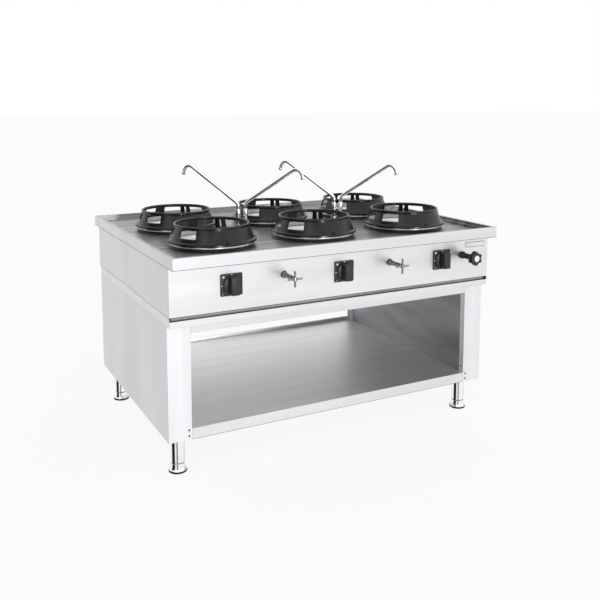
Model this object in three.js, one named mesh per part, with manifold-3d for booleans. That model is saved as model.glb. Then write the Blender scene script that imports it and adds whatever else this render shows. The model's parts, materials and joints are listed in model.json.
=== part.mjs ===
// Six-burner gas wok range on an open stand. Millimetres, +Z up, front towards -Y.
// The origin is on the floor, under the middle of the whole range.
import * as THREE from "three";
import { mergeVertices } from "three/addons/utils/BufferGeometryUtils.js";
import Module from "manifold-3d";

const wasm = await Module();
wasm.setup();

// ---- overall size ----
const worktopWidth = 1500;
const worktopDepth = 1170;
const worktopHeight = 875;
const seam = 0.3; // gap between pieces that touch
const topSheet = 2; // worktop sheet
const bodySheet = 2; // folded body sheets

// ---- worktop ----
const apronDrop = 45;
const rimWidth = 16;
const ledgeDrop = 12;
const ledgeWidth = 12;
const basinDrop = 22; // rim to basin floor
const pressDraft = 1; // slope of the pressed walls
const apronCorner = 1.5;
const basinCorner = 8;

// ---- upper body ----
const panelSetback = 55; // control panel behind the apron's front edge
const panelBottom = 231; // below the worktop
const panelFold = 20;
const upperRearInset = 70;
const skirtSetback = 12; // shaded skirt behind the control panel
const skirtDrop = 16;
const skirtSideInset = 10;
const trayLip = 24; // bright lip below the skirt
const slotCount = 7; // air slots in each half of the rear panel
const slotPitch = 30;
const slotWidth = 9;
const slotLength = 80;

// ---- stand ----
const pillarSetback = 89;
const pillarWidth = 94;
const pillarReturn = 30;
const standRearInset = 85;
const standBottom = 725; // below the worktop
const railDrop = 37;
const railFold = 28;
const shelfLip = 43;
const liningOffset = 2; // lining behind the pillar's inner edge

// ---- legs ----
const legRadius = 28.5;
const legWall = 2.5;
const legLength = 111;
const legSideInset = 62;
const legFrontInset = 166;
const legRearInset = 170;
const footFlare = 36;
const footStemRadius = 8;
const legPlug = 16;
const footStem = 60;
const legSides = 12;

// ---- rings and burners ----
const ringPitchX = worktopWidth / 3 - 27;
const ringOffsetX = -4; // middle ring beside the worktop's middle
const ringFrontInset = 314;
const ringPitchY = 444;
const ringHeight = 73;
const flangeHeight = 10;
const ringBaseRadius = 183;
const ringTopRadius = 152;
const ringWall = 8;
const ringSeatDrop = 3; // underside of the ring below the rim
const windowCount = 5;
const windowAngle = 28;
const windowPitch = 45;
const windowFirst = 122.5; // degrees from the front, anticlockwise seen from above
const windowBottom = 27;
const windowTop = 59;
const slitAngle = 2.6;
const holeRadius = 156;
const bowlRadius = 150;
const bowlDepth = 88;
const bowlSheet = 2;
const burnerRadius = 62;
const burnerHeight = 40;
const burnerThroat = 30; // pipe below the burner
const burnerPorts = 8;
const ringSides = 20;

// ---- control panel fittings ----
const knobDrop = 131; // below the worktop
const knobPlateWidth = 96;
const knobPlateHeight = 88;
const knobPlateThick = 4;
const knobPitch = 495;
const knobFirst = 249; // from the left end
const knobRadius = 33;
const gripWidth = 22;
const gripHeight = 50;
const gripLength = 74;
const spindleRadius = 5;
const tapDrop = 116;
const tapAfterKnob = 223; // taps stand beside the first two knobs
const tapReach = 94; // cross in front of the panel
const tapArm = 32;
const tapStemRadius = 9;
const tapCollar = 30; // foot of the stem, in front of the panel
const stemTail = 22; // behind the panel
const valveDrop = 122;
const valveAfterKnob = 115; // beside the third knob
const valveCollar = 50;
const wheelReach = 94; // middle of the wheel in front of the panel
const wheelRadius = 29;
const wheelThick = 16;
const wheelLobes = 6;

// ---- spouts ----
const spoutPairs = {
  left: { column: -0.5, shift: -10.5, turns: [127, -54] },
  right: { column: 0.5, shift: 7.5, turns: [127, -58] },
}; // columns in ring pitches, turns in degrees from +X, anticlockwise
const spoutGap = 36; // between the two risers of a pair
const riserRadius = 9.8;
const spoutRadius = 7.75;
const riserTop = 80; // thick part of the riser above the worktop
const bendHeight = 105;
const spoutSlope = 33;
const spoutLength = 320;
const neckBend = 28;
const riserBend = 24;
const tipLength = 58;
const tipLean = 17;
const sleeveTop = 12; // above the worktop's rim
const sleeveRadius = 14;
const sleeveFloor = 10; // bottom of the sleeves' bores above the basin floor
const spoutTail = 30; // threaded end below the worktop

// ---- gas manifold ----
const manifoldRadius = 13;
const manifoldSetback = 62; // behind the control panel
const manifoldRise = 60; // above the bottom of the upper body

// ---- places that follow from the sizes above ----
const wheelOverhang = wheelReach + wheelThick / 2 - panelSetback;
const frontEdge = -worktopDepth / 2 + wheelOverhang / 2;
const rearEdge = frontEdge + worktopDepth;
const halfWidth = worktopWidth / 2;
const bodyHalf = halfWidth - topSheet - seam;
const top = worktopHeight;
const basinFloor = top - basinDrop;
const basinUnderside = basinFloor - topSheet;
const panelFace = frontEdge + panelSetback;
const upperRear = rearEdge - upperRearInset;
const upperBottom = top - panelBottom;
const skirtBottom = upperBottom - skirtDrop;
const trayBottom = skirtBottom - trayLip;
const pillarFace = frontEdge + pillarSetback;
const standRear = rearEdge - standRearInset;
const floorOfStand = top - standBottom;
const openingHalf = bodyHalf - pillarWidth;
const liningHalf = openingHalf + liningOffset;
const shelfTop = floorOfStand + shelfLip;
const railBottom = trayBottom - railDrop;
const seatHeight = top - ringSeatDrop;
const ringColumns = { left: -ringPitchX, middle: 0, right: ringPitchX };
const ringRows = { front: ringFrontInset, rear: ringFrontInset + ringPitchY };
const spoutRow = ringFrontInset + ringPitchY / 2;
const knobPlaces = [0, 1, 2].map((i) => knobFirst + i * knobPitch);
const tapPlaces = knobPlaces.slice(0, 2).map((fromLeft) => fromLeft + tapAfterKnob);
const valvePlace = knobPlaces[2] + valveAfterKnob;
const spoutPlace = ({ column, shift }) => column * ringPitchX + shift;

// ---- materials ----
const finish = (color, roughness, metalness) =>
  new THREE.MeshStandardMaterial({ color, roughness, metalness });
const brushedSteel = finish(0xd8d7da, 0.38, 1);
const basinSteel = finish(0xa5a4a7, 0.42, 1);
const shadedSteel = finish(0x9c9b9e, 0.5, 1);
const chrome = finish(0xe6e6e8, 0.12, 1);
const enamel = finish(0x1b1a1c, 0.3, 0);
const castIron = finish(0x2c2b2d, 0.7, 0.4);
const blackPlastic = finish(0x242326, 0.45, 0);

// ---- shape helpers ----
const range = new THREE.Group();

function addPiece(name, geometry, material) {
  const mesh = new THREE.Mesh(geometry, material);
  mesh.name = name;
  range.add(mesh);
  return mesh;
}

// A closed geometry as a manifold solid, with its shared corners merged.
function toSolid(geometry) {
  const bare = geometry.index ? geometry.toNonIndexed() : geometry.clone();
  bare.deleteAttribute("normal");
  bare.deleteAttribute("uv");
  const merged = mergeVertices(bare, 1e-3);
  const vertProperties = new Float32Array(merged.attributes.position.array);
  const triVerts = new Uint32Array(merged.index.array);
  return new wasm.Manifold(new wasm.Mesh({ numProp: 3, vertProperties, triVerts }));
}

function toGeometry(solid) {
  const { vertProperties, triVerts } = solid.getMesh();
  const shared = new THREE.BufferGeometry();
  shared.setAttribute("position", new THREE.BufferAttribute(vertProperties, 3));
  shared.setIndex(new THREE.BufferAttribute(triVerts, 1));
  const faceted = shared.toNonIndexed();
  faceted.computeVertexNormals();
  return faceted;
}

function join(first, ...others) {
  const joined = others.reduce((sum, next) => sum.add(toSolid(next)), toSolid(first));
  return toGeometry(joined);
}

function cut(body, ...cutters) {
  const left = cutters.reduce((rest, next) => rest.subtract(toSolid(next)), toSolid(body));
  return toGeometry(left);
}

// A block between two values on each axis.
function block([x0, x1], [y0, y1], [z0, z1]) {
  const geometry = new THREE.BoxGeometry(x1 - x0, y1 - y0, z1 - z0);
  return geometry.translate((x0 + x1) / 2, (y0 + y1) / 2, (z0 + z1) / 2);
}

// A profile of [radius, height] pairs turned about Z, going up on the outside.
function revolve(profile, sides) {
  const points = profile.map(([radius, height]) => new THREE.Vector2(radius, height));
  return new THREE.LatheGeometry(points, sides).rotateX(Math.PI / 2);
}

function tube(radius, z0, z1, sides) {
  return revolve([[0, z0], [radius, z0], [radius, z1], [0, z1]], sides);
}

// A hole whose flats clear something round of the given radius that turns in it.
function bore(radius, z0, z1, sides) {
  return tube((radius + seam) / Math.cos(Math.PI / sides), z0, z1, sides);
}

// An outline in X and Y, standing between two heights. Each arc gets the given even steps.
function upright(shape, z0, z1, arcSteps = 8) {
  const settings = { depth: z1 - z0, bevelEnabled: false, curveSegments: arcSteps / 2 };
  return new THREE.ExtrudeGeometry(shape, settings).translate(0, 0, z0);
}

// An outline in Y and Z, running from x0 to x1.
function lengthwise(shape, x0, x1) {
  const settings = { depth: x1 - x0, bevelEnabled: false };
  const geometry = new THREE.ExtrudeGeometry(shape, settings);
  const turn = new THREE.Matrix4().makeBasis(
    new THREE.Vector3(0, 1, 0),
    new THREE.Vector3(0, 0, 1),
    new THREE.Vector3(1, 0, 0),
  );
  return geometry.applyMatrix4(turn).translate(x0, 0, 0);
}

// The outline of a folded sheet: a path with the sheet's thickness laid on its left side.
function foldedSheet(path, thickness) {
  const line = path.map(([x, y]) => new THREE.Vector2(x, y));
  const leftOf = (from, to) => {
    const along = to.clone().sub(from).normalize();
    return new THREE.Vector2(-along.y, along.x);
  };
  const inner = line.map((point, i) => {
    const before = i > 0 ? leftOf(line[i - 1], point) : leftOf(point, line[i + 1]);
    const after = i < line.length - 1 ? leftOf(point, line[i + 1]) : before;
    const mitre = before.clone().add(after).normalize();
    return point.clone().addScaledVector(mitre, thickness / mitre.dot(before));
  });
  return new THREE.Shape([...line, ...inner.reverse()]);
}

function roundedRectangle(width, height, radius) {
  const shape = new THREE.Shape();
  const x = width / 2 - radius;
  const y = height / 2 - radius;
  shape.absarc(x, -y, radius, -Math.PI / 2, 0);
  shape.absarc(x, y, radius, 0, Math.PI / 2);
  shape.absarc(-x, y, radius, Math.PI / 2, Math.PI);
  shape.absarc(-x, -y, radius, Math.PI, Math.PI * 1.5);
  return shape;
}

// A skin through rounded rectangles, each an inset from the worktop's outline and a height.
// It starts with a lid that looks up and ends with one that looks down.
function pressedSheet(sections) {
  const loops = sections.map(({ inset, z, corner }) => {
    const outline = roundedRectangle(worktopWidth - 2 * inset, worktopDepth - 2 * inset, corner);
    const points = outline.getPoints(3).slice(0, -1);
    return points.map((p) => new THREE.Vector3(p.x, p.y + (frontEdge + rearEdge) / 2, z));
  });
  const triangles = [];
  const count = loops[0].length;
  for (let i = 0; i < loops.length - 1; i++) {
    for (let j = 0; j < count; j++) {
      const next = (j + 1) % count;
      triangles.push(loops[i][j], loops[i + 1][j], loops[i + 1][next]);
      triangles.push(loops[i][j], loops[i + 1][next], loops[i][next]);
    }
  }
  const lid = THREE.ShapeUtils.triangulateShape(loops[0], []);
  lid.forEach(([a, b, c]) => triangles.push(loops[0][a], loops[0][b], loops[0][c]));
  const last = loops[loops.length - 1];
  lid.forEach(([a, b, c]) => triangles.push(last[a], last[c], last[b]));
  return new THREE.BufferGeometry().setFromPoints(triangles);
}

// A path through stations, so that a swept tube has a ring exactly at each of them.
class StationPath extends THREE.Curve {
  constructor(stations) {
    super();
    this.stations = stations;
  }
  getPointAt(u) {
    return this.stations[Math.round(u * (this.stations.length - 1))].clone();
  }
  getTangentAt(u) {
    const last = this.stations.length - 1;
    const i = Math.round(u * last);
    const ahead = this.stations[Math.min(i + 1, last)].clone();
    const here = this.stations[i];
    const behind = this.stations[Math.max(i - 1, 0)].clone();
    const out = ahead.sub(here).normalize();
    const back = here.clone().sub(behind).normalize();
    return out.add(back).normalize();
  }
}

// The corners of a bent tube, each inner one rounded to its bend radius.
function bentPath(corners, radii, arcSteps) {
  const stations = [corners[0]];
  for (let i = 1; i < corners.length - 1; i++) {
    const back = corners[i - 1].clone().sub(corners[i]).normalize();
    const ahead = corners[i + 1].clone().sub(corners[i]).normalize();
    const opening = back.angleTo(ahead);
    const axis = back.clone().cross(ahead).normalize();
    const toCentre = back.clone().add(ahead).normalize();
    const centre = corners[i].clone().addScaledVector(toCentre, radii[i - 1] / Math.sin(opening / 2));
    const start = corners[i].clone().addScaledVector(back, radii[i - 1] / Math.tan(opening / 2));
    const spoke = start.sub(centre);
    for (let step = 0; step <= arcSteps; step++) {
      const turn = (-(Math.PI - opening) * step) / arcSteps;
      stations.push(spoke.clone().applyAxisAngle(axis, turn).add(centre));
    }
  }
  stations.push(corners[corners.length - 1]);
  return stations;
}

function sweptTube(stations, radius, sides) {
  const section = new THREE.Shape().absarc(0, 0, radius, 0, 2 * Math.PI);
  const extrudePath = new StationPath(stations);
  const settings = { steps: stations.length - 1, extrudePath, curveSegments: sides / 2 };
  return new THREE.ExtrudeGeometry(section, settings);
}

// Turns a piece made along +Z so that it points out of the control panel, and places it there.
function onPanel(geometry, fromLeft, drop) {
  return geometry.rotateX(Math.PI / 2).translate(fromLeft - halfWidth, panelFace, top - drop);
}

const radians = THREE.MathUtils.degToRad;

// ---- worktop ----
function burnerPlaces() {
  const places = [];
  for (const [row, inset] of Object.entries(ringRows)) {
    for (const [column, x] of Object.entries(ringColumns)) {
      places.push({ name: `${row}_${column}`, x: x + ringOffsetX, y: frontEdge + inset });
    }
  }
  return places;
}

function makeWorktop() {
  const basinEdge = rimWidth + 2 * pressDraft + ledgeWidth;
  const sections = [
    { inset: basinEdge, z: basinFloor, corner: basinCorner },
    { inset: basinEdge - pressDraft, z: top - ledgeDrop, corner: basinCorner },
    { inset: rimWidth + pressDraft, z: top - ledgeDrop, corner: basinCorner },
    { inset: rimWidth, z: top, corner: basinCorner },
    { inset: 0, z: top, corner: apronCorner },
    { inset: 0, z: top - apronDrop, corner: apronCorner },
    { inset: topSheet, z: top - apronDrop, corner: apronCorner },
    { inset: topSheet, z: top - topSheet, corner: apronCorner },
    { inset: rimWidth - topSheet, z: top - topSheet, corner: basinCorner },
    { inset: rimWidth + pressDraft - topSheet, z: top - ledgeDrop - topSheet, corner: basinCorner },
    { inset: basinEdge - pressDraft - topSheet, z: top - ledgeDrop - topSheet, corner: basinCorner },
    { inset: basinEdge - topSheet, z: basinUnderside, corner: basinCorner },
  ];
  const under = basinUnderside - topSheet;
  const over = basinFloor + topSheet;
  const burnerHoles = burnerPlaces().map(({ x, y }) =>
    tube(holeRadius, under, over, ringSides).translate(x, y, 0),
  );
  const spoutHoles = Object.values(spoutPairs).map((pair) =>
    tube(sleeveRadius, under, over, 12).translate(spoutPlace(pair), frontEdge + spoutRow, 0),
  );
  addPiece("worktop", cut(pressedSheet(sections), ...burnerHoles, ...spoutHoles), basinSteel);
}

// ---- upper body ----
function makeControlPanel() {
  const upper = basinUnderside - seam;
  const rearFold = panelFace + panelFold;
  const path = [
    [rearFold, upperBottom],
    [panelFace, upperBottom],
    [panelFace, upper],
    [rearFold, upper],
  ];
  const sheet = lengthwise(foldedSheet(path.reverse(), bodySheet), -bodyHalf, bodyHalf);
  const foldEnd = bodyHalf - bodySheet - seam;
  const foldEnds = [[-bodyHalf - 1, -foldEnd], [foldEnd, bodyHalf + 1]].map((xs) =>
    block(xs, [panelFace + bodySheet, rearFold + 1], [upperBottom - 1, upper + 1]),
  );
  const hole = (radius, fromLeft, drop) =>
    onPanel(tube(radius, -2 * bodySheet, bodySheet, 12), fromLeft, drop);
  const holes = [];
  for (const place of knobPlaces) holes.push(hole(spindleRadius + 1, place, knobDrop));
  for (const place of tapPlaces) holes.push(hole(tapStemRadius - 1, place, tapDrop));
  holes.push(hole(tapStemRadius - 1, valvePlace, valveDrop));
  addPiece("control_panel", cut(sheet, ...foldEnds, ...holes), brushedSteel);
}

function makeUpperSide(name, side) {
  const outer = side * bodyHalf;
  const inner = side * (bodyHalf - panelFold);
  const front = panelFace + bodySheet + seam;
  const rear = upperRear;
  // Below the basin the folds stand back, and only the web reaches up inside the apron.
  const path = [[inner, front], [outer, front], [outer, rear], [inner, rear]];
  const outline = foldedSheet(side > 0 ? path : path.reverse(), bodySheet);
  const folded = upright(outline, upperBottom + bodySheet + seam, basinUnderside - bodySheet - 2 * seam);
  const webInner = outer - side * bodySheet;
  const web = block(
    [Math.min(outer, webInner), Math.max(outer, webInner)],
    [front, rear],
    [upperBottom, top - topSheet - seam],
  );
  addPiece(name, join(folded, web), brushedSteel);
}

function makeUpperRear() {
  const half = bodyHalf - seam;
  const inner = upperRear + seam;
  const outer = inner + bodySheet;
  const upper = basinUnderside - seam;
  const plate = block([-half, half], [inner, outer], [upperBottom, upper]);
  const slots = [];
  const middleHeight = (upper + upperBottom) / 2;
  const slotHeights = [middleHeight - slotLength / 2, middleHeight + slotLength / 2];
  for (const middle of [-half / 2, half / 2]) {
    for (let i = 0; i < slotCount; i++) {
      const x = middle + (i - (slotCount - 1) / 2) * slotPitch;
      slots.push(block([x, x + slotWidth], [inner - 1, outer + 1], slotHeights));
    }
  }
  addPiece("upper_rear_panel", cut(plate, ...slots), brushedSteel);
}

function makeBasePan() {
  const half = bodyHalf - seam;
  const plateTop = upperBottom - seam;
  const plate = block([-half, half], [panelFace + bodySheet, upperRear], [plateTop - bodySheet, plateTop]);
  const skirtFront = panelFace + skirtSetback;
  const skirtHalf = half - skirtSideInset;
  const skirtRear = upperRear - skirtSetback;
  const bottom = skirtBottom + seam;
  const outside = block([-skirtHalf, skirtHalf], [skirtFront, skirtRear], [bottom, plateTop - seam]);
  const hollow = block(
    [-skirtHalf + bodySheet, skirtHalf - bodySheet],
    [skirtFront + bodySheet, skirtRear - bodySheet],
    [bottom - bodySheet, plateTop - bodySheet],
  );
  addPiece("base_pan", cut(join(plate, outside), hollow), shadedSteel);
}

// ---- stand ----
function makeStandTray() {
  const plateTop = skirtBottom;
  const upper = upperBottom - bodySheet - 2 * seam;
  const inner = bodyHalf - bodySheet;
  const whole = block([-bodyHalf, bodyHalf], [panelFace, standRear], [trayBottom, upper]);
  const above = block([-inner, inner], [panelFace - 1, standRear + 1], [plateTop, upper + 1]);
  const below = block(
    [-inner, inner],
    [panelFace + bodySheet, standRear - bodySheet],
    [trayBottom - 1, plateTop - bodySheet],
  );
  addPiece("stand_top_tray", cut(whole, above, below), brushedSteel);
}

function makeStandSide(name, side) {
  const outer = side * bodyHalf;
  const inner = side * openingHalf;
  const path = [
    [inner, pillarFace + pillarReturn],
    [inner, pillarFace],
    [outer, pillarFace],
    [outer, standRear],
    [inner, standRear],
    [inner, standRear - pillarReturn],
  ];
  const outline = foldedSheet(side > 0 ? path : path.reverse(), bodySheet);
  const walls = upright(outline, floorOfStand, trayBottom - seam);
  const xs = [inner, outer].sort((a, b) => a - b);
  const bottom = block(xs, [pillarFace, standRear], [floorOfStand, floorOfStand + bodySheet]);
  addPiece(name, join(walls, bottom), brushedSteel);
}

function makeLining(name, side) {
  const face = side * liningHalf;
  const back = side * (liningHalf + panelFold);
  const front = pillarFace + bodySheet + seam;
  const rear = standRear - bodySheet - seam;
  const path = [[back, rear], [face, rear], [face, front], [back, front]];
  const outline = foldedSheet(side > 0 ? path : path.reverse(), bodySheet);
  addPiece(name, upright(outline, floorOfStand + bodySheet + seam, trayBottom - seam), brushedSteel);
}

function makeRail(name, face, inward) {
  const upper = trayBottom - seam;
  const path = [
    [face + inward * railFold, railBottom],
    [face, railBottom],
    [face, upper],
    [face + inward * railFold, upper],
  ];
  const outline = foldedSheet(inward > 0 ? path.reverse() : path, bodySheet);
  const half = openingHalf - seam;
  addPiece(name, lengthwise(outline, -half, half), brushedSteel);
}

function makeShelf() {
  const half = openingHalf - seam;
  const path = [
    [pillarFace + railFold, floorOfStand],
    [pillarFace, floorOfStand],
    [pillarFace, shelfTop],
    [standRear, shelfTop],
    [standRear, floorOfStand],
    [standRear - railFold, floorOfStand],
  ];
  const sheet = lengthwise(foldedSheet(path.reverse(), bodySheet), -half, half);
  addPiece("shelf", sheet, brushedSteel);
}

// ---- legs ----
function makeLeg(name, x, y) {
  const upper = floorOfStand - seam;
  const lower = floorOfStand - legLength;
  const bore = legRadius - legWall;
  const stemHole = footStemRadius + seam;
  const legProfile = [
    [0, upper - legWall],
    [bore, upper - legWall],
    [bore, lower + legPlug],
    [stemHole, lower + legPlug],
    [stemHole, lower],
    [legRadius, lower],
    [legRadius, upper],
    [0, upper],
  ];
  addPiece(`leg_${name}`, revolve(legProfile, legSides).translate(x, y, 0), chrome);
  const footTop = lower - seam;
  const footProfile = [
    [0, 0],
    [footFlare, 0],
    [footFlare, 5],
    [legRadius - 1, 16],
    [legRadius - 1, footTop],
    [footStemRadius, footTop],
    [footStemRadius, footTop + footStem],
    [0, footTop + footStem],
  ];
  addPiece(`foot_${name}`, revolve(footProfile, legSides).translate(x, y, 0), chrome);
}

// ---- rings and burners ----
function makeRing({ name, x, y }) {
  const inner = ringTopRadius - ringWall;
  const profile = [
    [ringBaseRadius - 21, 0],
    [ringBaseRadius, 0],
    [ringBaseRadius, flangeHeight - 2],
    [ringBaseRadius - 3, flangeHeight],
    [ringBaseRadius - 11, flangeHeight + 2],
    [ringTopRadius - 1, ringHeight - 9],
    [ringTopRadius, ringHeight - 2],
    [inner, ringHeight],
    [inner + 2, ringHeight - 12],
    [ringBaseRadius - 11 - ringWall, flangeHeight + 8],
    [ringBaseRadius - 21, 0],
  ];
  const cutterAt = (middle, width) => {
    const wedge = new THREE.Shape();
    const start = radians(middle - width / 2 - 90);
    const end = radians(middle + width / 2 - 90);
    wedge.absarc(0, 0, ringBaseRadius + 10, start, end);
    wedge.absarc(0, 0, inner - 20, end, start, true);
    return upright(wedge, windowBottom, windowTop, 2);
  };
  const windows = [];
  for (let i = 0; i < windowCount; i++) {
    windows.push(cutterAt(windowFirst + i * windowPitch, windowAngle));
  }
  windows.push(cutterAt(windowFirst + windowPitch / 2, slitAngle));
  const lugFront = -ringBaseRadius + 3;
  const lugFloor = flangeHeight - 2;
  const lug = block([-5, 5], [lugFront, lugFront + 15], [lugFloor, lugFloor + 10]);
  const casting = cut(join(revolve(profile, ringSides), lug), ...windows);
  addPiece(`ring_${name}`, casting.translate(x, y, seatHeight), enamel);
}

function makeBowl({ name, x, y }) {
  const foot = -(basinDrop - ringSeatDrop) + seam;
  const bead = ringBaseRadius - 5;
  const profile = [
    [24, -bowlDepth],
    [bowlRadius - 10, -bowlDepth],
    [bowlRadius + bowlSheet, -10],
    [bead - 8, -8],
    [bead - 8, foot],
    [bead - 4, foot],
    [bead, -5],
    [bead - 2, -seam],
    [bead - 12, -seam],
    [bowlRadius, -8],
    [bowlRadius - 12, -bowlDepth + bowlSheet],
    [24, -bowlDepth + bowlSheet],
    [24, -bowlDepth],
  ];
  addPiece(`burner_bowl_${name}`, revolve(profile, ringSides).translate(x, y, seatHeight), chrome);
}

function makeBurner({ name, x, y }) {
  const seat = -bowlDepth + bowlSheet + seam;
  const outline = new THREE.Shape();
  const notch = radians(360 / burnerPorts);
  for (let i = 0; i < burnerPorts; i++) {
    const angle = i * notch;
    outline.absarc(0, 0, burnerRadius, angle, angle + notch * 0.6);
    outline.absarc(0, 0, burnerRadius - 12, angle + notch * 0.7, angle + notch * 0.9);
  }
  const crown = upright(outline, seat + burnerHeight / 2, seat + burnerHeight, 1);
  const throat = [
    [0, seat - burnerThroat],
    [20, seat - burnerThroat],
    [20, seat],
    [burnerRadius - 22, seat],
    [burnerRadius - 16, seat + burnerHeight / 2 + 1],
    [0, seat + burnerHeight / 2 + 1],
  ];
  const head = join(crown, revolve(throat, 10));
  const mouth = tube(16, seat + burnerHeight - 8, seat + burnerHeight + 1, 10);
  addPiece(`burner_${name}`, cut(head, mouth).translate(x, y, seatHeight), castIron);
}

// ---- fittings on the control panel ----
function makeKnob(number, fromLeft) {
  const plate = upright(roundedRectangle(knobPlateWidth, knobPlateHeight, 6), seam, knobPlateThick, 4);
  const hole = bore(spindleRadius, -1, knobPlateThick + 1, 10);
  addPiece(`knob_plate_${number}`, onPanel(cut(plate, hole), fromLeft, knobDrop), blackPlastic);
  const base = knobPlateThick + seam;
  const profile = [
    [0, -14],
    [spindleRadius, -14],
    [spindleRadius, base],
    [knobRadius, base],
    [knobRadius, base + 5],
    [knobRadius - 2, base + 7],
    [0, base + 7],
  ];
  const gripOutline = roundedRectangle(gripWidth, gripLength, 5);
  const grip = upright(gripOutline, base + 6, base + gripHeight, 4);
  const taper = 4;
  const corners = grip.attributes.position;
  for (let i = 0; i < corners.count; i++) {
    if (corners.getZ(i) > base + gripHeight - 1) {
      corners.setX(i, corners.getX(i) * (1 - taper / gripWidth));
      corners.setY(i, corners.getY(i) * (1 - taper / gripLength));
    }
  }
  const knob = join(revolve(profile, 18), grip);
  addPiece(`knob_${number}`, onPanel(knob, fromLeft, knobDrop), blackPlastic);
}

function makeTap(number, fromLeft) {
  const stemEnd = tapReach - 8;
  const profile = [
    [0, -stemTail],
    [tapStemRadius - 1 - seam, -stemTail],
    [tapStemRadius - 1 - seam, seam],
    [tapStemRadius + 6, seam],
    [tapStemRadius + 6, 5],
    [tapStemRadius + 3, 8],
    [tapStemRadius + 2, tapCollar - 4],
    [tapStemRadius, tapCollar],
    [tapStemRadius, stemEnd - 6],
    [tapStemRadius - 3, stemEnd],
    [0, stemEnd],
  ];
  addPiece(`tap_body_${number}`, onPanel(revolve(profile, 12), fromLeft, tapDrop), chrome);
  const hubProfile = [
    [0, stemEnd + seam],
    [8, stemEnd + seam],
    [9, stemEnd + 4],
    [9, stemEnd + 12],
    [6, tapReach + wheelThick / 2],
    [0, tapReach + wheelThick / 2],
  ];
  const arm = () => tube(3.8, -tapArm, tapArm, 8);
  const across = arm().rotateY(Math.PI / 2).translate(0, 0, tapReach);
  const upDown = arm().rotateX(Math.PI / 2).translate(0, 0, tapReach);
  const cross = join(revolve(hubProfile, 12), across, upDown);
  addPiece(`tap_handle_${number}`, onPanel(cross, fromLeft, tapDrop), chrome);
}

function makeValve() {
  const back = wheelReach - wheelThick / 2;
  const profile = [
    [0, -stemTail],
    [tapStemRadius - 1 - seam, -stemTail],
    [tapStemRadius - 1 - seam, seam],
    [16, seam],
    [16, 8],
    [12, 12],
    [12, valveCollar - 6],
    [8, valveCollar],
    [6, back - seam],
    [0, back - seam],
  ];
  addPiece("valve_body", onPanel(revolve(profile, 12), valvePlace, valveDrop), blackPlastic);
  const outline = new THREE.Shape();
  const steps = wheelLobes * 6;
  for (let i = 0; i < steps; i++) {
    const angle = (2 * Math.PI * i) / steps;
    const radius = wheelRadius - 4 + 4 * Math.cos(wheelLobes * angle);
    const x = radius * Math.sin(angle);
    const y = radius * Math.cos(angle);
    if (i === 0) outline.moveTo(x, y);
    else outline.lineTo(x, y);
  }
  const rim = upright(outline, back, back + wheelThick - 3);
  const face = back + wheelThick;
  const capProfile = [
    [0, back + 2],
    [14, back + 2],
    [14, face - 1],
    [11, face],
    [0, face],
  ];
  const wheel = join(rim, revolve(capProfile, 12));
  addPiece("valve_wheel", onPanel(wheel, valvePlace, valveDrop), blackPlastic);
}

// ---- spouts ----
function makeSpoutBase(name, x, y) {
  const half = spoutGap / 2;
  const foot = new THREE.Shape();
  foot.absarc(half, 0, 20, -Math.PI / 2, Math.PI / 2);
  foot.absarc(-half, 0, 20, Math.PI / 2, Math.PI * 1.5);
  const flange = upright(foot, basinFloor + seam, basinFloor + 7, 4);
  const sleeves = [-half, half].map((offset) =>
    tube(sleeveRadius, basinFloor + 6, top + sleeveTop, 12).translate(offset, 0, 0),
  );
  const bores = [-half, half].map((offset) =>
    bore(riserRadius, basinFloor + sleeveFloor, top + sleeveTop + 1, 12).translate(offset, 0, 0),
  );
  const tail = tube(sleeveRadius - 1, basinUnderside - spoutTail, basinFloor + 1, 12);
  const base = cut(join(flange, ...sleeves, tail), ...bores);
  addPiece(name, base.translate(x, y, 0), chrome);
}

function makeSpout(name, x, y, turn) {
  const along = (distance, height) =>
    new THREE.Vector3(distance * Math.cos(radians(turn)), distance * Math.sin(radians(turn)), height);
  const start = basinFloor + sleeveFloor + seam;
  const bend = top + bendHeight;
  const reach = spoutLength * Math.cos(radians(spoutSlope));
  const peak = bend + spoutLength * Math.sin(radians(spoutSlope));
  const tipOut = tipLength * Math.sin(radians(tipLean));
  const tipDown = tipLength * Math.cos(radians(tipLean));
  const corners = [
    along(0, start + 2),
    along(0, bend),
    along(reach, peak),
    along(reach + tipOut, peak - tipDown),
  ];
  const pipe = sweptTube(bentPath(corners, [riserBend, neckBend], 4), spoutRadius, 9);
  const riserProfile = [
    [0, start],
    [riserRadius, start],
    [riserRadius, top + riserTop - 4],
    [riserRadius - 2.5, top + riserTop],
    [0, top + riserTop],
  ];
  const spout = join(pipe, revolve(riserProfile, 12));
  addPiece(name, spout.translate(x, y, 0), chrome);
}

// ---- gas manifold ----
function makeManifold() {
  const length = worktopWidth * 0.8;
  const y = panelFace + manifoldSetback;
  const z = upperBottom + manifoldRise;
  const straight = tube(manifoldRadius, -length / 2, length / 2, 12);
  const pipe = straight.rotateY(Math.PI / 2).translate(0, y, z);
  const foot = upperBottom;
  const brackets = [-0.4, 0, 0.4].map((share) => {
    const x = share * length;
    return block([x - 12, x + 12], [y - 3, y + 3], [foot, z]);
  });
  addPiece("gas_manifold", join(pipe, ...brackets), shadedSteel);
}

// ---- the whole range ----
makeWorktop();
makeControlPanel();
makeUpperSide("upper_left_side", -1);
makeUpperSide("upper_right_side", 1);
makeUpperRear();
makeBasePan();
makeManifold();
makeStandTray();
makeStandSide("stand_left_side", -1);
makeStandSide("stand_right_side", 1);
makeLining("left_lining", -1);
makeLining("right_lining", 1);
makeRail("stand_front_rail", pillarFace, 1);
makeRail("stand_rear_rail", standRear, -1);
makeShelf();

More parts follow.
